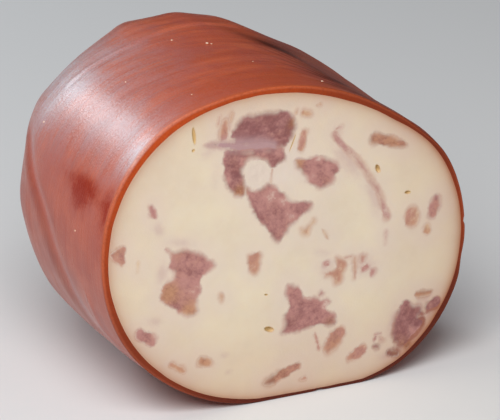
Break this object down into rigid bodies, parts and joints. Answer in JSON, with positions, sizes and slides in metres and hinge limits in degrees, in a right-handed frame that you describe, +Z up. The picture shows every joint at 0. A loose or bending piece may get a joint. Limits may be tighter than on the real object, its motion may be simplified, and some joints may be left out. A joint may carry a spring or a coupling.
{
  "type": "smoked processed cheese",
  "caption": "Half log of smoked processed cheese with pieces of ham, cut across at one end and rounded with soft pleats at the other, lying on its flattened side.",
  "frame": {"origin": "on the table, under the middle of the half log's box", "axes": "+X to the right across the cut face, +Y from the cut face towards the rounded end, +Z up"},
  "size_m": [0.107, 0.0968, 0.0866],
  "materials": {
    "cheese": "smooth pale cream processed cheese, cut with a knife, slightly translucent and pinker near the ham",
    "rind": "smoked skin, reddish brown and orange, satin, with fine rings from the casing",
    "ham": "moist cooked ham, mauve pink with darker fibres",
    "ham_pale": "cooked ham near its edge or under a film of cheese, tan pink",
    "fat": "soft white fat",
    "sinew": "thin greyish pink connective skin"
  },
  "bodies": {
    "root": {"cheese": "cheese", "fat_blob": "fat", "ham_bar_low": "ham_pale", "ham_big_corner": "ham", "ham_big_left": "ham", "ham_big_low": "ham", "ham_block_middle": "ham_pale", "ham_cap": "ham", "ham_curl": "ham", "ham_diamond": "ham", "ham_flake_corner": "ham", "ham_flake_left": "ham", "ham_flake_low": "ham_pale", "ham_fork": "ham_pale", "ham_hook": "ham", "ham_oval_right": "ham_pale", "ham_slab_low": "ham_pale", "ham_slant_left": "ham", "ham_slant_right": "ham", "ham_sliver_left": "ham_pale", "ham_sliver_right": "ham_pale", "ham_speck_corner": "ham", "ham_speck_top": "ham_pale", "ham_strip_corner": "ham_pale", "ham_strip_middle": "ham_pale", "ham_strip_top": "ham_pale", "ham_tail_right": "ham_pale", "ham_wedge_left": "ham_pale", "ham_wedge_low": "ham_pale", "ham_wedge_middle": "ham_pale", "sinew_band": "sinew", "sinew_streak": "sinew"}
  },
  "joints": []
}
